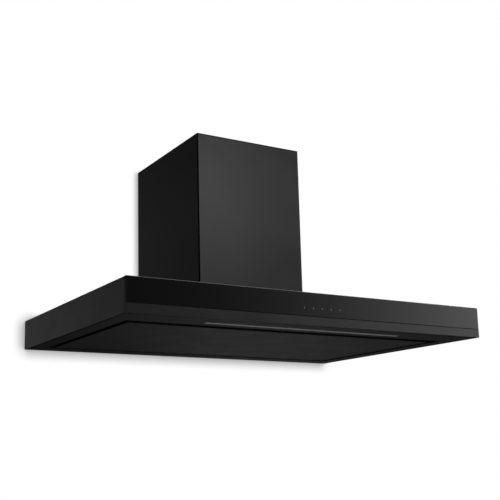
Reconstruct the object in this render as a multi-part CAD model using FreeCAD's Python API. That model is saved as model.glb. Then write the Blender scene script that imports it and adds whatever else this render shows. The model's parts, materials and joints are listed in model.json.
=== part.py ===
"""A wall chimney hood, 90 cm wide: a flat glass-fronted canopy with perimeter suction and a square chimney.

Millimetres. +X is to the right seen from the front, the front faces -Y, the wall is the plane y = 0,
and z = 0 is the canopy's underside. Each function below makes one sub-part of the hood.
"""

import FreeCAD
import Part
import math
import os

from FreeCAD import Vector

# ---------------------------------------------------------------- driving dimensions
WIDTH = 900.0
DEPTH = 600.0
CANOPY_HEIGHT = 70.0
SHEET = 1.2

CHIMNEY_WIDTH = 290.0
CHIMNEY_DEPTH = 332.0
CHIMNEY_TOP = 493.0
CHIMNEY_SHEET = 1.0
CHIMNEY_BEND = 3.0
CHIMNEY_HEM = 15.0

GLASS_THICKNESS = 5.0
TAPE_THICKNESS = 1.5
TRIM_HEIGHT = 19.2
FRONT_JOINT = 0.4
GLASS_ARRIS = 0.7
TRIM_ARRIS = 0.4

OPENING_HALF_WIDTH = 409.7
OPENING_FRONT = -513.6
OPENING_REAR = -49.5
LIP_HEIGHT = 12.0

PANEL_HALF_WIDTH = 394.5
PANEL_FRONT = -483.0
PANEL_REAR = -66.5
PANEL_THICKNESS = 10.0
HINGE_Y = -72.0
HINGE_Z = 14.0
HINGE_X = (-300.0, 300.0)
PIN_RADIUS = 2.5
RUNNING_GAP = 0.05

TOUCH_SPACING = 23.0
TOUCH_Z = 36.7
TOUCH_COUNT = 5
TOUCH_RADIUS = 1.9
TOUCH_POCKET_RADIUS = 2.0
TOUCH_DEPTH = 0.3

LIGHT_LENGTH = 500.0
LIGHT_WIDTH = 12.0
LIGHT_Y = -543.0
LIGHT_FIT = 1.0

TRAY_UNDERSIDE = 40.0
FILTER_PITCH = 260.0
FILTER_WIDTH = 254.0
FILTER_DEPTH = 312.0
FILTER_THICKNESS = 9.0
FILTER_Y = -280.0
FILTER_SIDES = {"left": -1, "middle": 0, "right": 1}
WINDOW_WIDTH = 244.0
WINDOW_DEPTH = 300.0

FAN_Y = -140.0
FAN_Z = 204.0
IMPELLER_RADIUS = 88.0
IMPELLER_EYE = 75.0
IMPELLER_HALF_WIDTH = 62.0
BLADE_COUNT = 36
SHAFT_RADIUS = 4.0
MOTOR_RADIUS = 42.0
SCROLL_RADIUS = 102.0
SCROLL_STEP = 14.0
SCROLL_WALL = 2.2
SCROLL_HALF_WIDTH = 70.0
SCROLL_OUTLET_WIDTH = 118.0
SCROLL_TOP = 330.0

COLLAR_RADIUS = 75.0
COLLAR_WALL = 2.0
COLLAR_Y = -190.0
COLLAR_BOTTOM = 372.0
COLLAR_TOP = 432.0
FLAP_Z = 400.0
FLAP_ROD_RADIUS = 2.0

UPPER_GAP = 0.6
UPPER_BOTTOM = 92.0
UPPER_TOP = 491.0

# How far a cutting tool reaches past a sheet, and past a whole blower part.
CUT_PAST = 5.0
FAR = 100.0


# ---------------------------------------------------------------- small helpers
def block(x0, x1, y0, y1, z0, z1):
    """A box between two corners."""
    return Part.makeBox(x1 - x0, y1 - y0, z1 - z0, Vector(x0, y0, z0))


def centred_block(x, y, z0, width, depth, height):
    """A box standing on z0, centred on x and y."""
    return block(x - width / 2, x + width / 2, y - depth / 2, y + depth / 2, z0, z0 + height)


def rod(radius, start, end):
    """A round bar between two points."""
    axis = end - start
    return Part.makeCylinder(radius, axis.Length, start, axis)


def tube(outer, inner, start, end):
    """A round tube between two points."""
    return rod(outer, start, end).cut(rod(inner, start, end))


def along_x(points, x0, x1):
    """A prism along X of the outline given as (y, z) points."""
    wire = Part.makePolygon([Vector(x0, y, z) for y, z in points + points[:1]])
    return Part.Face(wire).extrude(Vector(x1 - x0, 0, 0))


def along_y(points, y0, y1):
    """A prism along Y of the outline given as (x, z) points."""
    wire = Part.makePolygon([Vector(x, y0, z) for x, z in points + points[:1]])
    return Part.Face(wire).extrude(Vector(0, y1 - y0, 0))


def along_z(points, z0, z1):
    """A prism along Z of the outline given as (x, y) points."""
    wire = Part.makePolygon([Vector(x, y, z0) for x, y in points + points[:1]])
    return Part.Face(wire).extrude(Vector(0, 0, z1 - z0))


def edges_where(shape, test):
    """The edges whose two ends both pass a test."""
    return [e for e in shape.Edges if all(test(v.Point) for v in e.Vertexes)]


def vertical_edges(shape):
    """The straight edges that run along Z."""
    found = []
    for edge in shape.Edges:
        ends = edge.Vertexes
        if len(ends) == 2 and (ends[0].Point - ends[1].Point).cross(Vector(0, 0, 1)).Length < 1e-6:
            found.append(edge)
    return found


def mirrored_x(shape):
    """The same shape on the other side of the hood's middle."""
    return shape.mirror(Vector(0, 0, 0), Vector(1, 0, 0))


def group(shapes):
    """Separate solids that share one name."""
    return Part.makeCompound(shapes)


def union(shapes):
    """One solid made of several that touch."""
    return shapes[0].multiFuse(shapes[1:]).removeSplitter()


def pan_head_screw(point, direction, shank, length):
    """A pan-head screw whose head's underside is at the point; the shank runs against the direction."""
    height = shank * 1.1
    head = Part.makeCylinder(shank * 2, height, point, direction)
    crown = edges_where(head, lambda p: (p - point).dot(direction) > height / 2)
    head = head.makeChamfer(shank * 0.6, crown)
    return head.fuse(Part.makeCylinder(shank, length, point, direction * -1.0)).removeSplitter()


# ---------------------------------------------------------------- canopy
CANOPY_BEND = SHEET * 1.4
FRONT_WALL_Y = -DEPTH + GLASS_THICKNESS + TAPE_THICKNESS
BACK_OF_GLASS_Y = -DEPTH + GLASS_THICKNESS
# Left, right, front and rear.
CUTOUT = (-112.0, 112.0, -296.0, -40.0)
CUTOUT_CORNER = 8.0
BASE_PLATE = (-128.0, 128.0, -312.0, -20.0)
BASE_PLATE_CORNER = 6.0
BASE_PLATE_THICKNESS = 1.5
BASE_SCREWS = [(-120.0, -304.0), (120.0, -304.0), (-120.0, -30.0), (120.0, -30.0)]
# Left, right, bottom and top.
TOUCH_WINDOW = (-80.0, 80.0, 25.0, 49.0)
TRAY_FOOT = 10.0
WINDOW_CORNER = 6.0
GLAND_AT = Vector(0.0, -10.5, CANOPY_HEIGHT)
GLAND_BORE = 4.0
GLAND_THREAD = 7.8
GLAND_HOLE = 8.0
SCREW_SHANK = 2.0
SCREW_HOLE = 2.2
UP = Vector(0, 0, 1)


def air_cutout():
    """The tool for the rounded opening in the canopy's top through which the blower draws."""
    x0, x1, y0, y1 = CUTOUT
    hole = block(x0, x1, y0, y1, CANOPY_HEIGHT - CUT_PAST, CANOPY_HEIGHT + CUT_PAST)
    return hole.makeFillet(CUTOUT_CORNER, vertical_edges(hole))


def screw_hole_in_top(x, y):
    """The tool for one screw hole in the canopy's top and in what is screwed on it."""
    return rod(SCREW_HOLE, Vector(x, y, CANOPY_HEIGHT - CUT_PAST), Vector(x, y, CANOPY_HEIGHT + CUT_PAST))


def canopy_shell():
    """Top, sides, rear and front walls, folded from one sheet and open at the bottom."""
    half = WIDTH / 2
    outer = block(-half, half, FRONT_WALL_Y, 0, 0, CANOPY_HEIGHT)
    top = CANOPY_HEIGHT - 1
    bends = edges_where(outer, lambda p: p.z > top and p.y > -1)
    bends += edges_where(outer, lambda p: p.z > top and p.x < 0)
    bends += edges_where(outer, lambda p: p.z > top and p.x > 0)
    outer = outer.makeFillet(CANOPY_BEND, bends)
    inner = block(-half + SHEET, half - SHEET, FRONT_WALL_Y + SHEET, -SHEET, -1, CANOPY_HEIGHT - SHEET)
    shell = outer.cut(inner)
    x0, x1, z0, z1 = TOUCH_WINDOW
    window = block(x0, x1, FRONT_WALL_Y - 1, FRONT_WALL_Y + SHEET + 1, z0, z1)
    gland_hole = rod(GLAND_HOLE, GLAND_AT - UP * CUT_PAST, GLAND_AT + UP * CUT_PAST)
    screw_holes = [screw_hole_in_top(x, y) for x, y in BASE_SCREWS]
    return shell.cut([air_cutout(), window, gland_hole] + screw_holes)


def underside_frame():
    """The flat border with a lip round the suction opening, a flange against the shell and a light slot."""
    x = WIDTH / 2 - SHEET
    y0 = FRONT_WALL_Y + SHEET
    y1 = -SHEET
    plate = block(-x, x, y0, y1, 0, LIP_HEIGHT)
    plate = plate.cut(block(-x + SHEET, x - SHEET, y0 + SHEET, y1 - SHEET, SHEET, LIP_HEIGHT + 1))
    half = OPENING_HALF_WIDTH
    lip = block(-half - SHEET, half + SHEET, OPENING_FRONT - SHEET, OPENING_REAR + SHEET, 0, LIP_HEIGHT)
    opening = block(-half, half, OPENING_FRONT, OPENING_REAR, -1, LIP_HEIGHT + 1)
    slot = centred_block(0, LIGHT_Y, -1, LIGHT_LENGTH + LIGHT_FIT, LIGHT_WIDTH + LIGHT_FIT, CUT_PAST)
    return plate.fuse(lip).cut(opening).cut(slot).removeSplitter()


def suction_tray():
    """The pan above the perimeter panel: a plate with three filter windows, four walls and a foot flange."""
    x = OPENING_HALF_WIDTH + SHEET
    y0 = OPENING_FRONT - SHEET
    y1 = OPENING_REAR + SHEET
    top = TRAY_UNDERSIDE + SHEET
    foot = TRAY_FOOT
    walls = block(-x - SHEET, x + SHEET, y0 - SHEET, y1 + SHEET, SHEET, top)
    flange = block(-x - foot, x + foot, y0 - foot, y1 + foot, SHEET, 2 * SHEET)
    pan = walls.fuse(flange).cut(block(-x, x, y0, y1, 0, TRAY_UNDERSIDE))
    windows = []
    for side in FILTER_SIDES.values():
        window = centred_block(side * FILTER_PITCH, FILTER_Y, TRAY_UNDERSIDE - 1,
                               WINDOW_WIDTH, WINDOW_DEPTH, CUT_PAST)
        windows.append(window.makeFillet(WINDOW_CORNER, vertical_edges(window)))
    return pan.cut(windows).removeSplitter()


def front_glass():
    """The polished black glass: ground arrises all round and a shallow pocket for each touch mark."""
    z0 = TRIM_HEIGHT + FRONT_JOINT / 2
    glass = block(-WIDTH / 2, WIDTH / 2, -DEPTH, BACK_OF_GLASS_Y, z0, CANOPY_HEIGHT)
    rim = edges_where(glass, lambda p: p.y < -DEPTH + 0.1)
    rim += edges_where(glass, lambda p: p.y > BACK_OF_GLASS_Y - 0.1)
    return glass.makeChamfer(GLASS_ARRIS, rim).cut(touch_discs(TOUCH_POCKET_RADIUS))


def lower_trim():
    """The satin strip under the glass, with its edges broken."""
    trim = block(-WIDTH / 2, WIDTH / 2, -DEPTH, BACK_OF_GLASS_Y, 0, TRIM_HEIGHT - FRONT_JOINT / 2)
    return trim.makeChamfer(TRIM_ARRIS, edges_where(trim, lambda p: p.y < -DEPTH + 0.1))


def touch_positions():
    """The middles of the touch marks along X."""
    return [(i - (TOUCH_COUNT - 1) / 2) * TOUCH_SPACING for i in range(TOUCH_COUNT)]


def touch_discs(radius):
    """Discs sunk into the glass's face."""
    discs = []
    for x in touch_positions():
        discs.append(rod(radius, Vector(x, -DEPTH + TOUCH_DEPTH, TOUCH_Z), Vector(x, -DEPTH, TOUCH_Z)))
    return discs


TAPE_RUNS = [(4.0, 15.0), (20.5, 24.0), (54.0, 66.0)]
TAPE_INSET = 12.0


def bonding_tape():
    """Three runs of foam tape that hold the glass and the strip on the shell's front wall."""
    x = WIDTH / 2 - TAPE_INSET
    return group([block(-x, x, BACK_OF_GLASS_Y, FRONT_WALL_Y, z0, z1) for z0, z1 in TAPE_RUNS])


BOARD_HALF_WIDTH = 90.0
BOARD_LEVELS = (21.0, 53.0)
BOARD_THICKNESS = 1.6
BOARD_FRONT_Y = FRONT_WALL_Y + SHEET + 4.0
BOARD_REAR_Y = BOARD_FRONT_Y + BOARD_THICKNESS
BOARD_INSET = 5.0
# The processor and the connector: left, right, bottom and top.
PROCESSOR = (-12.0, 2.0, 30.0, 44.0)
PROCESSOR_HEIGHT = 1.6
CONNECTOR = (-84.0, -64.0, 30.0, 40.0)
CONNECTOR_HEIGHT = 6.0
CHIP_START = 30.0
CHIP_PITCH = 9.0
CHIP_SIZE = 4.0
CHIP_HEIGHT = 1.2
CHIP_Z = 34.0
SPACER_RADIUS = 2.2
SPACER_INSET_Z = 2.5
ELECTRODE_RADIUS = 7.0
ELECTRODE_FACE = 0.8
ELECTRODE_STEM = (4.5, 2.2)


def touch_board():
    """The touch control's circuit board, with its processor and connector on the rear."""
    rear = BOARD_REAR_Y
    board = block(-BOARD_HALF_WIDTH, BOARD_HALF_WIDTH, BOARD_FRONT_Y, rear, *BOARD_LEVELS)
    x0, x1, z0, z1 = PROCESSOR
    parts = [board, block(x0, x1, rear, rear + PROCESSOR_HEIGHT, z0, z1)]
    x0, x1, z0, z1 = CONNECTOR
    parts += [block(x0, x1, rear, rear + CONNECTOR_HEIGHT, z0, z1)]
    for i in range(TOUCH_COUNT - 1):
        x0 = CHIP_START + CHIP_PITCH * i
        parts.append(block(x0, x0 + CHIP_SIZE, rear, rear + CHIP_HEIGHT, CHIP_Z, CHIP_Z + CHIP_SIZE))
    return union(parts)


def board_spacers():
    """Four pillars that hold the touch board off the front wall."""
    pillars = []
    reach = BOARD_HALF_WIDTH - BOARD_INSET
    low, high = BOARD_LEVELS
    for x in (-reach, reach):
        for z in (low + SPACER_INSET_Z, high - SPACER_INSET_Z):
            foot = Vector(x, FRONT_WALL_Y + SHEET, z)
            pillars.append(rod(SPACER_RADIUS, foot, Vector(x, BOARD_FRONT_Y, z)))
    return group(pillars)


def touch_electrodes():
    """Five sprung pads that press on the back of the glass behind the touch marks."""
    pads = []
    neck_y = BACK_OF_GLASS_Y + ELECTRODE_FACE
    wide, narrow = ELECTRODE_STEM
    for x in touch_positions():
        neck = Vector(x, neck_y, TOUCH_Z)
        head = rod(ELECTRODE_RADIUS, Vector(x, BACK_OF_GLASS_Y, TOUCH_Z), neck)
        stem = Part.makeCone(wide, narrow, BOARD_FRONT_Y - neck_y, neck, Vector(0, 1, 0))
        pads.append(head.fuse(stem).removeSplitter())
    return group(pads)


# ---------------------------------------------------------------- light
RIM_OVERLAP_X = 4.0
RIM_OVERLAP_Y = 3.0
RIM_THICKNESS = 1.5
PROFILE_HALF_WIDTH = 13.0
PROFILE_TOP = 18.0
FIN_ROOT = 15.5
FIN_PITCH = 4.0
PROFILE_BORE = 10.0
PROFILE_ROOF = 13.5
PROFILE_END = 6.0
DIODE_COUNT = 20
DIODE_SIZE = 3.5
DIODE_HEIGHT = 0.8
STRIP_WIDTH = 10.0
STRIP_THICKNESS = 1.2
STRIP_END = 2.0
DIODE_END = 10.0


def light_diffuser():
    """The frosted bar that fills the slot, with a rim that rests on the frame."""
    bar = centred_block(0, LIGHT_Y, 0, LIGHT_LENGTH, LIGHT_WIDTH, SHEET + 1)
    rim = centred_block(0, LIGHT_Y, SHEET, LIGHT_LENGTH + 2 * RIM_OVERLAP_X, LIGHT_WIDTH + 2 * RIM_OVERLAP_Y,
                        RIM_THICKNESS)
    return bar.fuse(rim).removeSplitter()


def light_profile():
    """The aluminium channel over the diffuser, finned on top."""
    edge = -PROFILE_HALF_WIDTH
    outline = [(edge, SHEET), (edge, PROFILE_TOP)]
    outline += [(edge + FIN_PITCH, PROFILE_TOP), (edge + FIN_PITCH, FIN_ROOT)]
    outline += [(edge + 2 * FIN_PITCH, FIN_ROOT), (edge + 2 * FIN_PITCH, PROFILE_TOP)]
    outline += [(edge + 3 * FIN_PITCH, PROFILE_TOP), (edge + 3 * FIN_PITCH, FIN_ROOT)]
    outline += [(-y, z) for y, z in reversed(outline)]
    outline += [(PROFILE_BORE, SHEET), (PROFILE_BORE, PROFILE_ROOF)]
    outline += [(-PROFILE_BORE, PROFILE_ROOF), (-PROFILE_BORE, SHEET)]
    half = LIGHT_LENGTH / 2 + PROFILE_END
    return along_x([(LIGHT_Y + y, z) for y, z in outline], -half, half)


def light_board():
    """The strip of light-emitting diodes under the channel's roof."""
    z = PROFILE_ROOF - STRIP_THICKNESS
    parts = [centred_block(0, LIGHT_Y, z, LIGHT_LENGTH - 2 * STRIP_END, STRIP_WIDTH, STRIP_THICKNESS)]
    pitch = (LIGHT_LENGTH - 2 * DIODE_END) / DIODE_COUNT
    for i in range(DIODE_COUNT):
        x = (i - (DIODE_COUNT - 1) / 2) * pitch
        parts.append(centred_block(x, LIGHT_Y, z - DIODE_HEIGHT, DIODE_SIZE, DIODE_SIZE, DIODE_HEIGHT))
    return union(parts)


SIDE_BAY_X = 434.0
BAY_FLOOR = 2 * SHEET
CASE_CORNER = 3.0
LID_SHARE = 0.72
LID_GAP = 1.0
LID_GAP_DEPTH = 0.8
# Width, depth and height of a case's foot; width, length and height of a capacitor's terminal.
CASE_FOOT = (10.0, 12.0, 2.5)
CASE_FOOT_REACH = 5.0
CAPACITOR_RADIUS = 12.5
CAPACITOR_Z = BAY_FLOOR + 14.0
CAPACITOR_FRONT = -220.0
CAPACITOR_REAR = -150.0
CAPACITOR_ROUND = 1.5
TERMINAL = (1.0, 9.0, 6.0)
TERMINAL_X = 5.0
CLIP_FRONT = -195.0
CLIP_REAR = -180.0
CLIP_THICKNESS = 1.2
CLIP_MOUTH = 6.0
CLIP_MOUTH_Z = 8.0
CLIP_FOOT_WIDTH = 22.0


def electronics_case(x, y0, y1, width, height):
    """A moulded case with rounded corners, a lid joint and two feet."""
    z0 = BAY_FLOOR
    case = block(x - width / 2, x + width / 2, y0, y1, z0, z0 + height)
    case = case.makeFillet(CASE_CORNER, vertical_edges(case))
    lid = z0 + height * LID_SHARE
    groove = block(x - width, x + width, y0 - CUT_PAST, y1 + CUT_PAST, lid, lid + LID_GAP)
    in_x = width / 2 - LID_GAP_DEPTH
    core = block(x - in_x, x + in_x, y0 + LID_GAP_DEPTH, y1 - LID_GAP_DEPTH, z0, z0 + height)
    case = case.cut(groove.cut(core))
    feet = [centred_block(x, y, z0, *CASE_FOOT) for y in (y0 - CASE_FOOT_REACH, y1 + CASE_FOOT_REACH)]
    return union([case] + feet)


def control_box():
    """The power and control electronics in the left side bay."""
    return electronics_case(-SIDE_BAY_X, CONTROL_BOX_FRONT, -130.0, 26.0, 50.0)


def light_driver():
    """The light's power supply in the right side bay."""
    return electronics_case(SIDE_BAY_X, -420.0, -290.0, 24.0, 24.0)


def capacitor():
    """The motor's run capacitor, lying in the right side bay, with its terminals."""
    x = SIDE_BAY_X
    z = CAPACITOR_Z
    width, length, height = TERMINAL
    can = rod(CAPACITOR_RADIUS, Vector(x, CAPACITOR_FRONT, z), Vector(x, CAPACITOR_REAR, z))
    can = can.makeFillet(CAPACITOR_ROUND, edges_where(can, lambda p: p.y > CAPACITOR_REAR - 1))
    tabs = [centred_block(x + dx, CAPACITOR_FRONT - length / 2, z - height / 2, width, length, height)
            for dx in (-TERMINAL_X, TERMINAL_X)]
    return union([can] + tabs)


def capacitor_clip():
    """The sprung clip that holds the capacitor on the frame."""
    x = SIDE_BAY_X
    z = CAPACITOR_Z
    outer = CAPACITOR_RADIUS + CLIP_THICKNESS
    ring = tube(outer, CAPACITOR_RADIUS, Vector(x, CLIP_FRONT, z), Vector(x, CLIP_REAR, z))
    mouth = block(x - CLIP_MOUTH, x + CLIP_MOUTH, CLIP_FRONT - 1, CLIP_REAR + 1,
                  z + CLIP_MOUTH_Z, z + 2 * outer)
    foot_x = CLIP_FOOT_WIDTH / 2
    foot = block(x - foot_x, x + foot_x, CLIP_FRONT, CLIP_REAR, BAY_FLOOR, BAY_FLOOR + CLIP_THICKNESS)
    return ring.cut(mouth).fuse(foot).removeSplitter()


LOOM_RADIUS = 3.0
LOOM_BEND = 25.0
LOOM_Z = 35.0
LOOM_RUN_Y = -572.0
CONTROL_BOX_FRONT = -330.0
PLUG_LENGTH = 18.0
PLUG_HALF = 4.0


def wiring_loom():
    """The sleeved wires from the control box along the front wall to the touch board's connector."""
    x = -SIDE_BAY_X
    x_end = CONNECTOR[0]
    y = LOOM_RUN_Y
    bend = LOOM_BEND
    part_way = bend * (1 - math.sqrt(0.5))
    start = Vector(x, CONTROL_BOX_FRONT, LOOM_Z)
    turn_in = Vector(x, y + bend, LOOM_Z)
    knee = Vector(x + part_way, y + part_way, LOOM_Z)
    turn_out = Vector(x + bend, y, LOOM_Z)
    path = [Part.LineSegment(start, turn_in), Part.Arc(turn_in, knee, turn_out)]
    path += [Part.LineSegment(turn_out, Vector(x_end, y, LOOM_Z))]
    wire = Part.Wire([segment.toShape() for segment in path])
    circle = Part.Wire([Part.Circle(start, Vector(0, -1, 0), LOOM_RADIUS).toShape()])
    loom = wire.makePipeShell([circle], True, False)
    print("wiring loom: length", round(wire.Length, 1), "bend radius", bend)
    plug = block(x_end, x_end + PLUG_LENGTH, BOARD_REAR_Y + CONNECTOR_HEIGHT, y + PLUG_HALF,
                 LOOM_Z - PLUG_HALF, LOOM_Z + PLUG_HALF)
    return group([loom, plug])


GLAND_CORNER = 9.0
GLAND_NUT_CORNER = 9.9
GLAND_HEX_HEIGHT = 5.0
GLAND_TOP = 16.0
GLAND_DOME_BEVEL = 3.0
GLAND_STEM = 8.0
GLAND_NUT_HEIGHT = 4.0


def hexagon(radius, z0, z1):
    """A six-sided prism on the gland's axis."""
    angles = [math.radians(60 * i) for i in range(6)]
    points = [(GLAND_AT.x + radius * math.cos(a), GLAND_AT.y + radius * math.sin(a)) for a in angles]
    return along_z(points, z0, z1)


def cable_gland():
    """The hexagonal gland in the canopy's top, hidden by the chimney, with its nut and cable bore."""
    z = CANOPY_HEIGHT
    body = hexagon(GLAND_CORNER, z, z + GLAND_HEX_HEIGHT)
    dome = rod(GLAND_THREAD, GLAND_AT + UP * GLAND_HEX_HEIGHT, GLAND_AT + UP * GLAND_TOP)
    dome = dome.makeChamfer(GLAND_DOME_BEVEL, edges_where(dome, lambda p: p.z > z + GLAND_TOP - 1))
    stem = rod(GLAND_THREAD, GLAND_AT - UP * GLAND_STEM, GLAND_AT)
    nut = hexagon(GLAND_NUT_CORNER, z - SHEET - GLAND_NUT_HEIGHT, z - SHEET)
    bore = rod(GLAND_BORE, GLAND_AT - UP * (GLAND_STEM + 1), GLAND_AT + UP * (GLAND_TOP + 1))
    return union([body, dome, stem, nut]).cut(bore)


# ---------------------------------------------------------------- filters and latches
FILTER_BOTTOM = TRAY_UNDERSIDE - FILTER_THICKNESS
FILTER_FRONT = FILTER_Y - FILTER_DEPTH / 2
FILTER_REAR = FILTER_Y + FILTER_DEPTH / 2
FILTER_RIM = 12.0
FILTER_CORNER = 3.0
RAIL_HALF_LENGTH = 388.0
RAIL_LIP = 12.0
RAIL_GAP = 3.0
CATCH_Y = FILTER_FRONT - 6.0
CATCH_DROP = 3.0
LATCH_WIDTH = 56.0
LATCH_DEPTH = 34.0
LATCH_WALL = 3.0
LATCH_ROOF_Z = 37.2
SLIDER_WIDTH = 38.0
SLIDER_LENGTH = 17.0
SLIDER_LEVEL = (32.0, 36.9)
SLIDER_FRONT = FILTER_FRONT + LATCH_WALL + 0.2
RIDGE_HALF_WIDTH = 14.0
RIDGE_START = 3.0
RIDGE_PITCH = 4.0
RIDGE_THICKNESS = 1.5
RIDGE_COUNT = 4
BOLT_WIDTH = 16.0
BOLT_LEVEL = (33.4, 36.6)
BOLT_REACH = 3.0
BOLT_BEVEL = (2.5, 2.0)
SLIDE_GAP = 0.4
KEEPER_GAP = 0.6
MESH_THICKNESS = 5.0
MESH_RAISE = 2.0
MESH_COLUMNS = 6
MESH_ROWS = 7
MESH_FRONT_MARGIN = 24.0
DIAMOND_SHARE = 0.42
DIAMOND_DEPTH = 1.5
LEAF_HALF_LENGTH = 15.0
LEAF_THICKNESS = 0.4
LEAF_END = 0.6
LEAF_Z = 33.0
LEAF_WIDTH = 3.5


def filter_rail():
    """The Z-section under the tray that carries the filters' rear edges."""
    y = FILTER_REAR + RAIL_GAP
    z = FILTER_BOTTOM
    outline = [(y + RAIL_LIP, TRAY_UNDERSIDE), (y, TRAY_UNDERSIDE), (y, z), (y - RAIL_LIP, z)]
    outline += [(y - RAIL_LIP, z - SHEET), (y + SHEET, z - SHEET), (y + SHEET, TRAY_UNDERSIDE - SHEET)]
    outline += [(y + RAIL_LIP, TRAY_UNDERSIDE - SHEET)]
    return along_x(outline, -RAIL_HALF_LENGTH, RAIL_HALF_LENGTH)


def catch_rail():
    """The L-section under the tray with a keeper slot for each filter's latch bolt."""
    y = CATCH_Y
    z = FILTER_BOTTOM - CATCH_DROP
    outline = [(y - RAIL_LIP, TRAY_UNDERSIDE), (y + SHEET, TRAY_UNDERSIDE), (y + SHEET, z), (y, z)]
    outline += [(y, TRAY_UNDERSIDE - SHEET), (y - RAIL_LIP, TRAY_UNDERSIDE - SHEET)]
    rail = along_x(outline, -RAIL_HALF_LENGTH, RAIL_HALF_LENGTH)
    low, high = BOLT_LEVEL
    half = BOLT_WIDTH / 2 + 1
    slots = []
    for side in FILTER_SIDES.values():
        x = side * FILTER_PITCH
        slots.append(block(x - half, x + half, y - 1, y + SHEET + 1, low - KEEPER_GAP, high + KEEPER_GAP))
    return rail.cut(slots)


def filter_frame(side):
    """A filter's folded rim with the moulded latch housing in the middle of its front edge."""
    x = side * FILTER_PITCH
    y0 = FILTER_FRONT
    y1 = FILTER_FRONT + LATCH_DEPTH
    z0 = FILTER_BOTTOM
    frame = centred_block(x, FILTER_Y, z0, FILTER_WIDTH, FILTER_DEPTH, FILTER_THICKNESS)
    frame = frame.makeFillet(FILTER_CORNER, vertical_edges(frame))
    inside = (FILTER_WIDTH - 2 * FILTER_RIM, FILTER_DEPTH - 2 * FILTER_RIM, FILTER_THICKNESS + 2)
    hollow = centred_block(x, FILTER_Y, z0 - 1, *inside)
    half = LATCH_WIDTH / 2
    housing = block(x - half, x + half, y0, y1, z0, TRAY_UNDERSIDE)
    half = SLIDER_WIDTH / 2 + 0.5
    pocket = block(x - half, x + half, y0 + LATCH_WALL, y1 - LATCH_WALL, z0 - 1, LATCH_ROOF_Z)
    half = BOLT_WIDTH / 2 + SLIDE_GAP
    low, high = BOLT_LEVEL
    mouth = block(x - half, x + half, y0 - 1, y0 + LATCH_WALL + 1, low - SLIDE_GAP, high + SLIDE_GAP)
    return frame.cut(hollow).fuse(housing).cut([pocket, mouth]).removeSplitter()


def filter_mesh(side):
    """A filter's expanded-metal face sheets with the mesh pack between them, diamond-holed."""
    x = side * FILTER_PITCH
    width = FILTER_WIDTH - 2 * FILTER_RIM
    depth = FILTER_DEPTH - 2 * FILTER_RIM
    z0 = FILTER_BOTTOM + MESH_RAISE
    half = LATCH_WIDTH / 2
    recess = block(x - half, x + half, FILTER_FRONT, FILTER_FRONT + LATCH_DEPTH, z0 - 1, TRAY_UNDERSIDE)
    left = x - width / 2
    front = FILTER_Y - depth / 2 + MESH_FRONT_MARGIN
    pitch_x = width / MESH_COLUMNS
    pitch_y = (depth - MESH_FRONT_MARGIN) / MESH_ROWS
    dx = pitch_x * DIAMOND_SHARE
    dy = pitch_y * DIAMOND_SHARE
    holes = []
    for i in range(MESH_COLUMNS):
        for j in range(MESH_ROWS):
            cx = left + (i + 0.5) * pitch_x
            cy = front + (j + 0.5) * pitch_y
            diamond = [(cx - dx, cy), (cx, cy - dy), (cx + dx, cy), (cx, cy + dy)]
            holes.append(along_z(diamond, z0 - 1, z0 + DIAMOND_DEPTH))
    return centred_block(x, FILTER_Y, z0, width, depth, MESH_THICKNESS).cut(recess).cut(holes)


def filter_latch(side):
    """The sliding latch: a ridged finger pad and a bevelled bolt."""
    x = side * FILTER_PITCH
    y0 = SLIDER_FRONT
    under, over = SLIDER_LEVEL
    half = SLIDER_WIDTH / 2
    parts = [block(x - half, x + half, y0, y0 + SLIDER_LENGTH, under, over)]
    for i in range(RIDGE_COUNT):
        y = y0 + RIDGE_START + RIDGE_PITCH * i
        parts.append(block(x - RIDGE_HALF_WIDTH, x + RIDGE_HALF_WIDTH, y, y + RIDGE_THICKNESS,
                           FILTER_BOTTOM + 0.2, under))
    tip = CATCH_Y - BOLT_REACH
    low, high = BOLT_LEVEL
    run, rise = BOLT_BEVEL
    outline = [(y0, low), (tip + run, low), (tip, low + rise), (tip, high), (y0, high)]
    parts.append(along_x(outline, x - BOLT_WIDTH / 2, x + BOLT_WIDTH / 2))
    return union(parts)


def latch_spring(side):
    """The bowed leaf spring between a latch and its housing."""
    x = side * FILTER_PITCH
    front = SLIDER_FRONT + SLIDER_LENGTH
    rear = FILTER_FRONT + LATCH_DEPTH - LATCH_WALL
    half = LEAF_HALF_LENGTH
    short = LEAF_HALF_LENGTH - LEAF_END

    def at(dx, y):
        return Vector(x + dx, y, LEAF_Z)

    edges = [Part.Arc(at(-half, rear), at(0, front), at(half, rear))]
    edges += [Part.LineSegment(at(half, rear), at(short, rear))]
    edges += [Part.Arc(at(short, rear), at(0, front + LEAF_THICKNESS), at(-short, rear))]
    edges += [Part.LineSegment(at(-short, rear), at(-half, rear))]
    outline = Part.Wire(Part.__sortEdges__([edge.toShape() for edge in edges]))
    return Part.Face(outline).extrude(Vector(0, 0, LEAF_WIDTH))


# ---------------------------------------------------------------- perimeter panel
PANEL_HEM = 12.0
LUG_NOTCH = 14.0
HAT_X = (-130.0, 130.0)
# Half of the hat section: the outline's outer and inner corners, across from its middle and up.
HAT_OUTER = [(24.0, 0.0), (24.0, 1.0), (13.0, 1.0), (10.0, 8.0)]
HAT_INNER = [(9.2, 7.0), (12.2, 0.0)]
HAT_END = 14.0
EAR_RADIUS = 6.0
EAR_THICKNESS = 2.0
LUG_HALF_WIDTH = 6.0
LUG_FRONT = -116.0
LUG_FOOT_REAR = -80.0
EAR_REAR = -66.0
# The ear's sloping top, as (y, z) corners from the rear to the front.
EAR_SLOPE = [(EAR_REAR, HINGE_Z), (-76.0, HINGE_Z + 4.0), (LUG_FRONT, SHEET + 4.0)]
BRACKET_HALF_WIDTH = 9.0
BRACKET_SHEET = 1.5
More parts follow.
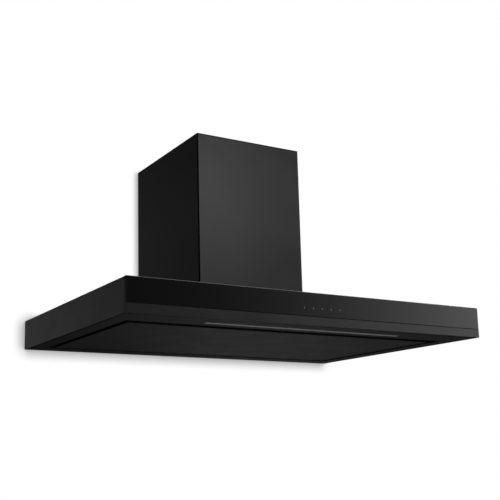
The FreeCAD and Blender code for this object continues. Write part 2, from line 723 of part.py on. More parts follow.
# The bracket's side view, as (y, z) corners.
BRACKET_OUTLINE = [(-80.0, TRAY_UNDERSIDE), (-64.0, TRAY_UNDERSIDE),
                   (-66.0, 10.0), (-69.0, 8.0), (-75.0, 8.0), (-78.0, 10.0)]
PIN_END = 1.5
PIN_HEAD_RADIUS = 4.0


def hinge_point(x):
    """A point on the panel's hinge axis."""
    return Vector(x, HINGE_Y, HINGE_Z)


def perimeter_panel():
    """The large flat panel: one sheet with its four edges turned up and hemmed inwards."""
    half = PANEL_HALF_WIDTH
    hem = PANEL_HEM
    top = PANEL_THICKNESS
    outer = block(-half, half, PANEL_FRONT, PANEL_REAR, 0, top)
    inner = block(-half + SHEET, half - SHEET, PANEL_FRONT + SHEET, PANEL_REAR - SHEET, SHEET, top - SHEET)
    mouth = block(-half + hem, half - hem, PANEL_FRONT + hem, PANEL_REAR - hem, SHEET, top + 1)
    notches = []
    for x in HINGE_X:
        notches.append(block(x - LUG_NOTCH, x + LUG_NOTCH, PANEL_REAR - hem - 1, PANEL_REAR + 1,
                             SHEET, top + 1))
    return outer.cut([inner, mouth] + notches)


def panel_stiffeners():
    """Two hat sections across the panel's back."""
    outline = [(-dx, dz) for dx, dz in HAT_OUTER] + HAT_OUTER[::-1]
    outline += HAT_INNER[::-1] + [(-dx, dz) for dx, dz in HAT_INNER]
    y0 = PANEL_FRONT + HAT_END
    y1 = PANEL_REAR - HAT_END
    return group([along_y([(x + dx, SHEET + dz) for dx, dz in outline], y0, y1) for x in HAT_X])


def panel_lugs():
    """Two folded lugs on the panel's back, each with two eared plates that turn on a hinge pin."""
    lugs = []
    outline = [(LUG_FRONT, SHEET), (EAR_REAR, SHEET)] + EAR_SLOPE
    for x in HINGE_X:
        left = x - LUG_HALF_WIDTH
        right = x + LUG_HALF_WIDTH
        parts = [block(left, right, LUG_FRONT, LUG_FOOT_REAR, SHEET, SHEET + EAR_THICKNESS)]
        for x0 in (left, right - EAR_THICKNESS):
            x1 = x0 + EAR_THICKNESS
            ear = along_x(outline, x0, x1)
            behind_pin = block(x0 - 1, x1 + 1, HINGE_Y, 0, 0, TRAY_UNDERSIDE)
            parts.append(ear.cut(behind_pin).fuse(rod(EAR_RADIUS, hinge_point(x0), hinge_point(x1))))
        bore = rod(PIN_RADIUS + RUNNING_GAP, hinge_point(left - 1), hinge_point(right + 1))
        lugs.append(union(parts).cut(bore))
    return group(lugs)


def hinge_brackets():
    """Two channels under the tray whose ears hold the hinge pins."""
    brackets = []
    half = BRACKET_HALF_WIDTH
    inside = half - BRACKET_SHEET
    for x in HINGE_X:
        channel = along_x(BRACKET_OUTLINE, x - half, x + half)
        hollow = block(x - inside, x + inside, -FAR, 0, 0, TRAY_UNDERSIDE - BRACKET_SHEET)
        hole = rod(PIN_RADIUS, hinge_point(x - half - 1), hinge_point(x + half + 1))
        brackets.append(channel.cut([hollow, hole]))
    return group(brackets)


def hinge_pins():
    """Two headed pins, one across each bracket."""
    pins = []
    half = BRACKET_HALF_WIDTH
    for x in HINGE_X:
        body = rod(PIN_RADIUS, hinge_point(x - half - PIN_END), hinge_point(x + half))
        head = rod(PIN_HEAD_RADIUS, hinge_point(x + half), hinge_point(x + half + PIN_END))
        pins.append(body.fuse(head).removeSplitter())
    return group(pins)


MAGNET_X = (-250.0, 250.0)
MAGNET_HALF_WIDTH = 18.0
MAGNET_TAPER = 5.0
MAGNET_LENGTH = 22.0
MAGNET_FRONT = PANEL_FRONT - 4.0
MAGNET_GAP = 0.4
STRIKE_HALF_WIDTH = 20.0
STRIKE_TOP = PANEL_THICKNESS + 1.5


def panel_strikes():
    """Two steel plates on the panel's front hem, which the magnets hold."""
    plates = []
    y0 = PANEL_FRONT + 0.5
    y1 = PANEL_FRONT + PANEL_HEM
    half = STRIKE_HALF_WIDTH
    for x in MAGNET_X:
        plates.append(block(x - half, x + half, y0, y1, PANEL_THICKNESS, STRIKE_TOP))
    return group(plates)


def panel_magnets():
    """Two magnets in tapered holders that hang from the tray."""
    y0 = MAGNET_FRONT
    y1 = MAGNET_FRONT + MAGNET_LENGTH
    low = STRIKE_TOP + MAGNET_GAP
    outline = [(y0, TRAY_UNDERSIDE), (y1, TRAY_UNDERSIDE)]
    outline += [(y1 - MAGNET_TAPER, low), (y0 + MAGNET_TAPER, low)]
    return group([along_x(outline, x - MAGNET_HALF_WIDTH, x + MAGNET_HALF_WIDTH) for x in MAGNET_X])


# ---------------------------------------------------------------- blower
def fan_point(x, u, v):
    """A point given from the fan's axis: u towards the wall, v upwards."""
    return Vector(x, FAN_Y + u, FAN_Z + v)


def quarter(cu, cv, radius, a0, a1, x):
    """An arc about (cu, cv) from one angle to another, in degrees."""
    angles = (a0, (a0 + a1) / 2, a1)
    points = [fan_point(x, cu + radius * math.cos(math.radians(a)), cv + radius * math.sin(math.radians(a)))
              for a in angles]
    return Part.Arc(*points).toShape()


def scroll_face(x, grow):
    """The scroll's flow outline, a four-centre spiral with a straight outlet, grown outwards by a wall."""
    half_step = SCROLL_STEP / 2
    r_top = SCROLL_RADIUS + grow
    r_bottom = r_top + SCROLL_STEP
    r_front = r_bottom + SCROLL_STEP
    front = -half_step - r_front
    tongue = front + SCROLL_OUTLET_WIDTH + 2 * grow
    outlet = SCROLL_TOP - FAN_Z
    cut_angle = math.degrees(math.acos((tongue - half_step) / r_top))
    cut_v = -half_step + r_top * math.sin(math.radians(cut_angle))
    edges = [quarter(half_step, -half_step, r_top, cut_angle, 0, x)]
    edges += [quarter(-half_step, -half_step, r_bottom, 0, -90, x)]
    edges += [quarter(-half_step, half_step, r_front, -90, -180, x)]
    edges += [Part.LineSegment(fan_point(x, front, half_step), fan_point(x, front, outlet)).toShape()]
    edges += [Part.LineSegment(fan_point(x, front, outlet), fan_point(x, tongue, outlet)).toShape()]
    edges += [Part.LineSegment(fan_point(x, tongue, outlet), fan_point(x, tongue, cut_v)).toShape()]
    return Part.Face(Part.Wire(Part.__sortEdges__(edges)))


LUG_RADIUS = 6.5
LUG_REACH = SCROLL_WALL + LUG_RADIUS - 2.0
LUG_HEIGHT = 9.0
LUG_ANGLES = (215.0, 300.0, 40.0)
LUG_ABOVE_AXIS = 90.0
JOINT_RIM = 2.5
JOINT_RIM_WIDTH = 3.0
HOUSING_SCREW_LENGTH = 16.0
INLET_HOLE = 78.0
THROAT_RADIUS = 74.0
THROAT_DEPTH = 5.0
THROAT_WALL = 1.8
BELL_RADIUS = 10.0
BELL_RIM = 4.0
BELL_FOOT = 6.0


def housing_lugs():
    """The screw lugs' middles round the scroll, as (u, v) points just outside its wall."""
    step = SCROLL_STEP
    half = step / 2
    arcs = [(-half, half, SCROLL_RADIUS + 2 * step), (-half, -half, SCROLL_RADIUS + step)]
    arcs += [(half, -half, SCROLL_RADIUS)]
    lugs = [(-half - SCROLL_RADIUS - 2 * step - LUG_REACH, LUG_ABOVE_AXIS)]
    for (cu, cv, radius), degrees in zip(arcs, LUG_ANGLES):
        reach = radius + LUG_REACH
        angle = math.radians(degrees)
        lugs.append((cu + reach * math.cos(angle), cv + reach * math.sin(angle)))
    return lugs


def blower_housing_half(side):
    """One moulded half of the scroll: a side plate with the inlet hole, the wall, a rim and screw lugs."""
    face_x = side * (SCROLL_HALF_WIDTH + SCROLL_WALL)
    outer = scroll_face(0, SCROLL_WALL).extrude(Vector(face_x, 0, 0))
    flow = scroll_face(0, 0).extrude(Vector(side * SCROLL_HALF_WIDTH, 0, 0))
    rim = scroll_face(0, SCROLL_WALL + JOINT_RIM).extrude(Vector(side * JOINT_RIM_WIDTH, 0, 0))
    lugs = []
    holes = []
    for u, v in housing_lugs():
        foot = fan_point(0, u, v)
        end = fan_point(side * LUG_HEIGHT, u, v)
        lugs.append(rod(LUG_RADIUS, foot, end))
        holes.append(rod(SCREW_SHANK + RUNNING_GAP, foot, end))
    half = outer.fuse([rim] + lugs)
    eye = rod(INLET_HOLE, fan_point(side * (SCROLL_HALF_WIDTH - 1), 0, 0), fan_point(side * FAR, 0, 0))
    return half.cut([flow, eye] + holes).removeSplitter()


def housing_screws():
    """The screws that clamp the two housing halves together."""
    screws = []
    for u, v in housing_lugs():
        head = fan_point(LUG_HEIGHT, u, v)
        screws.append(pan_head_screw(head, Vector(1, 0, 0), SCREW_SHANK, HOUSING_SCREW_LENGTH))
    return group(screws)


def inlet_ring(side):
    """A bell-mouthed inlet: a throat that reaches towards the impeller, flared on the outside."""
    throat = THROAT_RADIUS
    bell = BELL_RADIUS
    rim = THROAT_RADIUS + BELL_RADIUS
    sin45 = math.sqrt(0.5)
    x_start = SCROLL_HALF_WIDTH
    x_in = x_start - THROAT_DEPTH
    x_face = x_start + SCROLL_WALL
    x_out = x_start + bell

    def at(x, r):
        return fan_point(side * x, 0, r)

    middle = at(x_start + bell * sin45, throat + bell * (1 - sin45))
    arc = Part.Arc(at(x_start, throat), middle, at(x_out, rim)).toShape()
    corners = [at(x_out, rim), at(x_out, rim + BELL_RIM), at(x_face, rim + BELL_FOOT)]
    corners += [at(x_face, INLET_HOLE - 0.3), at(x_in, throat + THROAT_WALL), at(x_in, throat)]
    corners += [at(x_start, throat)]
    lines = [Part.LineSegment(a, b).toShape() for a, b in zip(corners, corners[1:])]
    face = Part.Face(Part.Wire(Part.__sortEdges__([arc] + lines)))
    return face.revolve(fan_point(0, 0, 0), Vector(1, 0, 0), 360)


# The blade's curve, seen along the axis: its inner end, its outer end, and how far its middle bows out.
BLADE_INNER = IMPELLER_EYE + 0.6
BLADE_OUTER = (86.62, 7.55)
BLADE_BOW = (1.04, -2.6)
BLADE_THICKNESS = 1.1
DISC_HALF_THICKNESS = 1.2
HUB_RADIUS = 12.0
HUB_HALF_LENGTH = 10.0
END_RING = 3.0
SHAFT_START = -14.0
SHAFT_END = 40.0
SHAFT_BEVEL = 0.8


def fan_blade(x0, x1):
    """One forward-curved blade: a thin crescent between the impeller's eye and its rim, extruded along X."""
    def arc(offset, flip):
        start = (BLADE_INNER, offset)
        end = (BLADE_OUTER[0], BLADE_OUTER[1] + offset)
        middle = ((start[0] + end[0]) / 2 + BLADE_BOW[0], (start[1] + end[1]) / 2 + BLADE_BOW[1])
        points = [fan_point(x0, a, b) for a, b in (start, middle, end)]
        if flip:
            points.reverse()
        return Part.Arc(*points).toShape()

    lower = arc(-BLADE_THICKNESS / 2, False)
    upper = arc(BLADE_THICKNESS / 2, True)
    caps = [Part.LineSegment(lower.Vertexes[-1].Point, upper.Vertexes[0].Point).toShape(),
            Part.LineSegment(upper.Vertexes[-1].Point, lower.Vertexes[0].Point).toShape()]
    outline = Part.Wire(Part.__sortEdges__([lower, caps[0], upper, caps[1]]))
    return Part.Face(outline).extrude(Vector(x1 - x0, 0, 0))


def impeller():
    """The double-inlet impeller: a disc and hub, two rows of forward-curved blades and two end rings."""
    half = DISC_HALF_THICKNESS
    disc = rod(IMPELLER_RADIUS, fan_point(-half, 0, 0), fan_point(half, 0, 0))
    hub = rod(HUB_RADIUS, fan_point(-HUB_HALF_LENGTH, 0, 0), fan_point(HUB_HALF_LENGTH, 0, 0))
    drum = [disc, hub]
    axis = fan_point(0, 0, 0)
    for side in (-1, 1):
        x_end = side * IMPELLER_HALF_WIDTH
        x_ring = side * (IMPELLER_HALF_WIDTH - END_RING)
        drum.append(tube(IMPELLER_RADIUS, IMPELLER_EYE, fan_point(x_ring, 0, 0), fan_point(x_end, 0, 0)))
        first = fan_blade(side * half * 2 / 3, x_ring + side * 0.5)
        shift = 0 if side > 0 else 180.0 / BLADE_COUNT
        for i in range(BLADE_COUNT):
            blade = first.copy()
            blade.rotate(axis, Vector(1, 0, 0), shift + 360.0 / BLADE_COUNT * i)
            drum.append(blade)
    wheel = drum[0].multiFuse(drum[1:])
    bore_end = HUB_HALF_LENGTH + 1
    return wheel.cut(rod(SHAFT_RADIUS + 0.02, fan_point(-bore_end, 0, 0), fan_point(bore_end, 0, 0)))


def motor_shaft():
    """The shaft from the impeller's hub into the motor's bearing, with a turned end."""
    shaft = rod(SHAFT_RADIUS, fan_point(SHAFT_START, 0, 0), fan_point(SHAFT_END, 0, 0))
    return shaft.makeChamfer(SHAFT_BEVEL, edges_where(shaft, lambda p: p.x < SHAFT_START + 1))


MOTOR_START = 16.0
MOTOR_END = 86.0
MOTOR_BEVEL = 6.0
GROOVE_COUNT = 3
GROOVE_START = 20.0
GROOVE_PITCH = 14.0
GROOVE_WIDTH = 5.0
GROOVE_DEPTH = 2.0
BEARING_DEPTH = 26.0
ARM_ANGLES = (0.0, 120.0, 240.0)
ARM_LENGTH = 101.0
ARM_HALF_WIDTH = 8.0
ARM_THICKNESS = 2.5
ARM_FOOT_LENGTH = 11.0
ARM_FOOT_THICKNESS = 2.0
SPIDER_RADIUS = 34.0
GROMMET_RADIUS = 5.2
GROMMET_HEIGHT = 4.0
GROMMET_REACH = 95.5
HOUSING_FACE_X = SCROLL_HALF_WIDTH + SCROLL_WALL


def motor():
    """The induction motor inside the right inlet: a grooved body with bevelled ends and a bearing bore."""
    body = rod(MOTOR_RADIUS, fan_point(MOTOR_START, 0, 0), fan_point(MOTOR_END, 0, 0))
    body = body.makeChamfer(MOTOR_BEVEL, [e for e in body.Edges if isinstance(e.Curve, Part.Circle)])
    grooves = []
    for i in range(GROOVE_COUNT):
        x = MOTOR_START + GROOVE_START + GROOVE_PITCH * i
        ends = (fan_point(x, 0, 0), fan_point(x + GROOVE_WIDTH, 0, 0))
        grooves.append(tube(MOTOR_RADIUS + 1, MOTOR_RADIUS - GROOVE_DEPTH, *ends))
    ends = (fan_point(MOTOR_START - 1, 0, 0), fan_point(MOTOR_START + BEARING_DEPTH, 0, 0))
    bore = rod(SHAFT_RADIUS + RUNNING_GAP, *ends)
    return body.cut(grooves + [bore])


def motor_bracket():
    """The three-armed bracket that carries the motor across the right inlet."""
    x0 = MOTOR_END
    x1 = MOTOR_END + ARM_THICKNESS
    foot_x = HOUSING_FACE_X + GROMMET_HEIGHT
    end = FAN_Y + ARM_LENGTH
    levels = (FAN_Z - ARM_HALF_WIDTH, FAN_Z + ARM_HALF_WIDTH)
    parts = [rod(SPIDER_RADIUS, fan_point(x0, 0, 0), fan_point(x1, 0, 0))]
    for angle in ARM_ANGLES:
        arm = block(x0, x1, FAN_Y, end, *levels)
        leg = block(foot_x, x1, end - ARM_THICKNESS, end, *levels)
        foot = block(foot_x, foot_x + ARM_FOOT_THICKNESS, end - ARM_FOOT_LENGTH, end, *levels)
        limb = arm.fuse([leg, foot])
        limb.rotate(fan_point(0, 0, 0), Vector(1, 0, 0), angle)
        parts.append(limb)
    return union(parts)


def motor_grommets():
    """Three rubber feet between the motor bracket and the housing."""
    x0 = HOUSING_FACE_X
    feet = []
    for angle in ARM_ANGLES:
        u = GROMMET_REACH * math.cos(math.radians(angle))
        v = GROMMET_REACH * math.sin(math.radians(angle))
        feet.append(rod(GROMMET_RADIUS, fan_point(x0, u, v), fan_point(x0 + GROMMET_HEIGHT, u, v)))
    return group(feet)


def blower_base():
    """The steel ring plate on the canopy's top round the air cut-out."""
    x0, x1, y0, y1 = BASE_PLATE
    plate = block(x0, x1, y0, y1, CANOPY_HEIGHT, CANOPY_HEIGHT + BASE_PLATE_THICKNESS)
    plate = plate.makeFillet(BASE_PLATE_CORNER, vertical_edges(plate))
    return plate.cut([air_cutout()] + [screw_hole_in_top(x, y) for x, y in BASE_SCREWS])


CRADLE_SHEET = 1.5
# The saddle that the housing rests in, as (y, z) corners from the rear to the front.
CRADLE_SADDLE = [(-62.0, 110.0), (-100.0, 110.0), (-118.0, 98.0),
                 (-162.0, 98.0), (-180.0, 110.0), (-232.0, 110.0)]
CRADLE_FRONT = -304.0
CRADLE_REAR = -30.0
CRADLE_END_HEIGHT = 12.0
CRADLE_FOOT_WIDTH = 14.0
CRADLE_FEET = [(-310.0, -297.0), (-38.0, -24.0)]


def blower_cradles():
    """Two bridges across the air cut-out that hold the housing by its side plates."""
    z0 = CANOPY_HEIGHT + BASE_PLATE_THICKNESS
    x0 = HOUSING_FACE_X
    outline = [(CRADLE_FRONT, z0), (CRADLE_REAR, z0), (CRADLE_REAR, z0 + CRADLE_END_HEIGHT)]
    outline += CRADLE_SADDLE + [(CRADLE_FRONT, z0 + CRADLE_END_HEIGHT)]
    parts = [along_x(outline, x0, x0 + CRADLE_SHEET)]
    for y0, y1 in CRADLE_FEET:
        parts.append(block(x0, x0 + CRADLE_FOOT_WIDTH, y0, y1, z0, z0 + CRADLE_SHEET))
    right = union(parts)
    return group([mirrored_x(right), right])


# ---------------------------------------------------------------- outlet
def rect_wire(x, y0, y1, z):
    """A rectangle at one height, from its rear left corner."""
    corners = [Vector(-x, y1, z), Vector(-x, y0, z), Vector(x, y0, z), Vector(x, y1, z)]
    return Part.makePolygon(corners + corners[:1])


def round_wire(radius, z):
    """A circle at one height in four arcs, starting at the rear left like the rectangle."""
    def at(angle):
        a = math.radians(angle)
        return Vector(radius * math.cos(a), COLLAR_Y + radius * math.sin(a), z)

    starts = (135, 225, 315, 405)
    return Part.Wire([Part.Arc(at(a), at(a + 45), at(a + 90)).toShape() for a in starts])


OUTLET_FRONT = FAN_Y - SCROLL_STEP / 2 - SCROLL_RADIUS - 2 * SCROLL_STEP
OUTLET_REAR = OUTLET_FRONT + SCROLL_OUTLET_WIDTH
COLLAR_FLANGE = 9.0
COLLAR_FLANGE_CORNER = 5.0
STOP_WIDTH = 3.0
STOP_LEVELS = (FLAP_Z - 4.0, FLAP_Z - 1.2)
STOP_GAP = 5.0
FLAP_RADIUS = COLLAR_RADIUS - COLLAR_WALL - 1.3
FLAP_HALF_THICKNESS = 0.6
FLAP_EDGE = 4.4
KNUCKLE_RADIUS = 3.6
KNUCKLE_LENGTH = 22.0
# Where each flap's two knuckles start along the rod: the front flap's, then the rear one's.
KNUCKLE_STARTS = {-1: (-56.0, 4.0), 1: (-26.0, 34.0)}


def flap_axis(radius, reach):
    """A round bar on the flaps' hinge axis."""
    return rod(radius, Vector(-reach, COLLAR_Y, FLAP_Z), Vector(reach, COLLAR_Y, FLAP_Z))


def duct_collar():
    """The outlet: a flange on the scroll, a square-to-round transition and the 150 mm spigot."""
    wall = COLLAR_WALL
    z0 = SCROLL_TOP
    inner_x = SCROLL_HALF_WIDTH
    y0 = OUTLET_FRONT
    y1 = OUTLET_REAR
    edge = COLLAR_FLANGE
    flange = block(-inner_x - edge, inner_x + edge, y0 - edge, y1 + edge, z0, z0 + wall)
    flange = flange.makeFillet(COLLAR_FLANGE_CORNER, vertical_edges(flange))
    outer = Part.makeLoft([rect_wire(inner_x + wall, y0 - wall, y1 + wall, z0 + wall),
                           round_wire(COLLAR_RADIUS, COLLAR_BOTTOM)], True, True)
    inner = Part.makeLoft([rect_wire(inner_x, y0, y1, z0 + wall),
                           round_wire(COLLAR_RADIUS - wall, COLLAR_BOTTOM)], True, True)
    base = Vector(0, COLLAR_Y, COLLAR_BOTTOM)
    top = Vector(0, COLLAR_Y, COLLAR_TOP)
    body = union([flange, outer, rod(COLLAR_RADIUS, base, top)])
    flow = block(-inner_x, inner_x, y0, y1, z0 - 1, z0 + wall)
    body = body.cut([flow, inner, rod(COLLAR_RADIUS - wall, base, top)])
    low, high = STOP_LEVELS
    bore = COLLAR_RADIUS - wall
    stop = tube(bore + 0.5, bore - STOP_WIDTH, Vector(0, COLLAR_Y, low), Vector(0, COLLAR_Y, high))
    gap = block(-FAR, FAR, COLLAR_Y - STOP_GAP, COLLAR_Y + STOP_GAP, low - 1, high + 1)
    return body.fuse(stop.cut(gap)).cut(flap_axis(FLAP_ROD_RADIUS, FAR)).removeSplitter()


def flap_rod():
    """The rod across the spigot that both flaps hinge on."""
    return flap_axis(FLAP_ROD_RADIUS, COLLAR_RADIUS)


def flap(side):
    """One non-return flap: a half disc with two knuckles on the rod; side is -1 in front, 1 behind."""
    z0 = FLAP_Z - FLAP_HALF_THICKNESS
    z1 = FLAP_Z + FLAP_HALF_THICKNESS
    disc = rod(FLAP_RADIUS, Vector(0, COLLAR_Y, z0), Vector(0, COLLAR_Y, z1))
    edge = COLLAR_Y + side * FLAP_EDGE
    near, far = sorted((edge, COLLAR_Y + side * FAR))
    parts = [disc.common(block(-FAR, FAR, near, far, z0 - 1, z1 + 1))]
    tab_front, tab_rear = sorted((COLLAR_Y, edge + side))
    for x0 in KNUCKLE_STARTS[side]:
        x1 = x0 + KNUCKLE_LENGTH
        parts.append(rod(KNUCKLE_RADIUS, Vector(x0, COLLAR_Y, FLAP_Z), Vector(x1, COLLAR_Y, FLAP_Z)))
        parts.append(block(x0, x1, tab_front, tab_rear, z0, z1))
    return union(parts).cut(flap_axis(FLAP_ROD_RADIUS + RUNNING_GAP, FAR))


# ---------------------------------------------------------------- chimney
def chimney(half_width, front, rear, z0, z1):
    """A sheet folded round three sides, with a hem turned in at each rear edge."""
    t = CHIMNEY_SHEET
    outer = block(-half_width, half_width, front, rear, z0, z1)
    corners = [e for e in vertical_edges(outer) if e.Vertexes[0].Point.y < front + 1]
    outer = outer.makeFillet(CHIMNEY_BEND, corners)
    inner = block(-half_width + t, half_width - t, front + t, rear - t, z0 - 1, z1 + 1)
    corners = [e for e in vertical_edges(inner) if e.Vertexes[0].Point.y < front + t + 1]
    inner = inner.makeFillet(CHIMNEY_BEND - t, corners)
    open_half = half_width - CHIMNEY_HEM
    mouth = block(-open_half, open_half, front + CHIMNEY_HEM, rear + CUT_PAST, z0 - 1, z1 + 1)
    return outer.cut([inner, mouth])


def lower_chimney():
    return chimney(CHIMNEY_WIDTH / 2, -CHIMNEY_DEPTH, 0, CANOPY_HEIGHT, CHIMNEY_TOP)


UPPER_HALF = CHIMNEY_WIDTH / 2 - CHIMNEY_SHEET - UPPER_GAP
UPPER_FRONT = -CHIMNEY_DEPTH + CHIMNEY_SHEET + UPPER_GAP
UPPER_REAR = -CHIMNEY_SHEET - UPPER_GAP
STRAP_LEVELS = (461.0, 487.0)
STRAP_SHEET = 1.5
STRAP_HALF = 125.0
STRAP_STEP_Y = -14.0
STRAP_WING_Y = -44.0
STRAP_SLOT_X = (-80.0, 80.0)
STRAP_SLOT_LENGTH = 18.0
STRAP_SLOT_RADIUS = 3.0


def upper_chimney():
    """The telescopic section, pushed down inside the lower one."""
    return chimney(UPPER_HALF, UPPER_FRONT, UPPER_REAR, UPPER_BOTTOM, UPPER_TOP)


def ceiling_bracket():
    """The wall bracket in the upper chimney's top: a back strip with a wing to each side wall."""
    low, high = STRAP_LEVELS
    t = STRAP_SHEET
    back = STRAP_HALF
    wing = UPPER_HALF - CHIMNEY_SHEET
    step = STRAP_STEP_Y
    end = STRAP_WING_Y
    outline = [(0, 0), (back + t, 0), (back + t, step + t), (wing, step + t), (wing, end), (wing - t, end)]
    outline += [(wing - t, step), (back, step), (back, -t), (0, -t)]
    right = along_z(outline, low, high)
    strap = union([right, mirrored_x(right)])
    middle = (low + high) / 2
    return strap.cut([slot_along_x(x, middle, STRAP_SLOT_LENGTH, STRAP_SLOT_RADIUS) for x in STRAP_SLOT_X])


def slot_along_x(x, z, length, radius):
    """A round-ended slot through a plate on the wall."""
    half = length / 2 - radius
    parts = [block(x - half, x + half, -CUT_PAST, CUT_PAST, z - radius, z + radius)]
    parts += [rod(radius, Vector(x + dx, -CUT_PAST, z), Vector(x + dx, CUT_PAST, z)) for dx in (-half, half)]
    return union(parts)


HANG_X = 90.0
HANG_HALF_WIDTH = 26.0
HANG_SHEET = 2.0
HANG_HEIGHT = 58.0
HANG_FOOT = 19.0
HANG_EDGE = 1.0
HANG_SLOT_Z = 112.0
HANG_SLOT_LENGTH = 20.0
HANG_SLOT_RADIUS = 4.0
LOCK_HOLE_Z = 88.0
LOCK_HOLE_RADIUS = 3.5


def hanging_brackets():
    """Two folded brackets on the canopy's top at the wall, each with a hanging slot and a locking hole."""
    brackets = []
    z0 = CANOPY_HEIGHT
    z1 = z0 + HANG_HEIGHT
    for x in (-HANG_X, HANG_X):
        left = x - HANG_HALF_WIDTH
        right = x + HANG_HALF_WIDTH
        upright = block(left, right, -HANG_SHEET, 0, z0, z1)
        ends = edges_where(upright, lambda p: p.z > z1 - 1 and p.x < x)
        ends += edges_where(upright, lambda p: p.z > z1 - 1 and p.x > x)
        upright = upright.makeFillet(HANG_EDGE, ends)
        foot = block(left, right, -HANG_FOOT, 0, z0, z0 + HANG_SHEET)
        slot = slot_along_x(x, HANG_SLOT_Z, HANG_SLOT_LENGTH, HANG_SLOT_RADIUS)
        hole = rod(LOCK_HOLE_RADIUS, Vector(x, -CUT_PAST, LOCK_HOLE_Z), Vector(x, CUT_PAST, LOCK_HOLE_Z))
        brackets.append(union([upright, foot]).cut([slot, hole]))
    return group(brackets)


ANGLE_SHEET = 1.5
ANGLE_HEIGHT = 18.0
ANGLE_WIDTH = 14.0
ANGLE_FRONT = -300.0
ANGLE_REAR = -60.0
ANGLE_SCREW_Y = (-280.0, -80.0)
CHIMNEY_INSIDE = CHIMNEY_WIDTH / 2 - CHIMNEY_SHEET
ANGLE_SCREW_X = CHIMNEY_INSIDE - 8.0
BASE_SCREW_LENGTH = 8.0
ANGLE_SCREW_LENGTH = 1.5


def chimney_angles():
    """Two angles on the canopy's top that locate the lower chimney's sides."""
    x = CHIMNEY_INSIDE
    toe = x - ANGLE_WIDTH
    z0 = CANOPY_HEIGHT
    z1 = z0 + ANGLE_HEIGHT
    t = ANGLE_SHEET
    outline = [(x, z0), (x, z1), (x - t, z1), (x - t, z0 + t), (toe, z0 + t), (toe, z0)]
    angle = along_y(outline, ANGLE_FRONT, ANGLE_REAR)
    right = angle.cut([screw_hole_in_top(ANGLE_SCREW_X, y) for y in ANGLE_SCREW_Y])
    return group([mirrored_x(right), right])


def canopy_screws():
    """The screws that hold the blower's base ring and the chimney angles on the canopy."""
    z = CANOPY_HEIGHT + BASE_PLATE_THICKNESS
    screws = [pan_head_screw(Vector(x, y, z), UP, SCREW_SHANK, BASE_SCREW_LENGTH) for x, y in BASE_SCREWS]
    z = CANOPY_HEIGHT + ANGLE_SHEET
    for x in (-ANGLE_SCREW_X, ANGLE_SCREW_X):
        for y in ANGLE_SCREW_Y:
            screws.append(pan_head_screw(Vector(x, y, z), UP, SCREW_SHANK, ANGLE_SCREW_LENGTH))
    return group(screws)


# ---------------------------------------------------------------- every node
NODES = {
    "canopy_shell": canopy_shell,
    "underside_frame": underside_frame,
    "suction_tray": suction_tray,
    "front_glass": front_glass,
    "lower_trim": lower_trim,
    "touch_marks": lambda: group(touch_discs(TOUCH_RADIUS)),
    "bonding_tape": bonding_tape,
    "touch_board": touch_board,
    "board_spacers": board_spacers,
    "touch_electrodes": touch_electrodes,
    "light_diffuser": light_diffuser,
    "light_profile": light_profile,
    "light_board": light_board,
    "light_driver": light_driver,
    "control_box": control_box,
    "capacitor": capacitor,
    "capacitor_clip": capacitor_clip,
    "wiring_loom": wiring_loom,
    "cable_gland": cable_gland,
    "filter_rail": filter_rail,
    "catch_rail": catch_rail,
    "perimeter_panel": perimeter_panel,
    "panel_stiffeners": panel_stiffeners,
    "panel_lugs": panel_lugs,
    "hinge_brackets": hinge_brackets,
    "hinge_pins": hinge_pins,
    "panel_strikes": panel_strikes,
    "panel_magnets": panel_magnets,
    "blower_housing_left": lambda: blower_housing_half(-1),
    "blower_housing_right": lambda: blower_housing_half(1),
    "housing_screws": housing_screws,
    "inlet_ring_left": lambda: inlet_ring(-1),
    "inlet_ring_right": lambda: inlet_ring(1),
    "impeller": impeller,
    "motor_shaft": motor_shaft,
    "motor": motor,
    "motor_bracket": motor_bracket,
    "motor_grommets": motor_grommets,
    "blower_base": blower_base,
    "canopy_screws": canopy_screws,
    "blower_cradles": blower_cradles,
    "duct_collar": duct_collar,
    "flap_rod": flap_rod,
    "flap_front": lambda: flap(-1),
    "flap_rear": lambda: flap(1),
    "lower_chimney": lower_chimney,
    "upper_chimney": upper_chimney,
    "ceiling_bracket": ceiling_bracket,
    "hanging_brackets": hanging_brackets,
    "chimney_angles": chimney_angles,
}
for place, side in FILTER_SIDES.items():
    NODES["filter_frame_" + place] = lambda side=side: filter_frame(side)
    NODES["filter_latch_" + place] = lambda side=side: filter_latch(side)
    NODES["latch_spring_" + place] = lambda side=side: latch_spring(side)
NODES["filter_meshes"] = lambda: group([filter_mesh(side) for side in FILTER_SIDES.values()])


def main():
    os.makedirs("parts", exist_ok=True)
    for name, make in NODES.items():
        shape = make()
        if not shape.isValid():
            raise ValueError(name + " isn't a valid solid")
        shape.exportStep("parts/" + name + ".step")
    print(len(NODES), "nodes")


main()
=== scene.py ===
import json
import math

import bpy
from mathutils import Matrix, Vector


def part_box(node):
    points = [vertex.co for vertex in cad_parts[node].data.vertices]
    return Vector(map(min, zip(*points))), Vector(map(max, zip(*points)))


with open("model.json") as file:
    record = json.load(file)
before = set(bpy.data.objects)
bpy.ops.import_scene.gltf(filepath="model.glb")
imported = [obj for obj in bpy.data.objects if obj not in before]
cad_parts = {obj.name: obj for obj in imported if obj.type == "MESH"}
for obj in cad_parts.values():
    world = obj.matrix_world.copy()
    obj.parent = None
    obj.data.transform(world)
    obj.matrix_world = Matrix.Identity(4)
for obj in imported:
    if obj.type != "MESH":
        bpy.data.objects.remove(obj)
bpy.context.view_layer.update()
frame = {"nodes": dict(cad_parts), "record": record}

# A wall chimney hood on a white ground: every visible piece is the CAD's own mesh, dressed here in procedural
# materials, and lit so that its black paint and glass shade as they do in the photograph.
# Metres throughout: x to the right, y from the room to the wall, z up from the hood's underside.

MM = 0.001

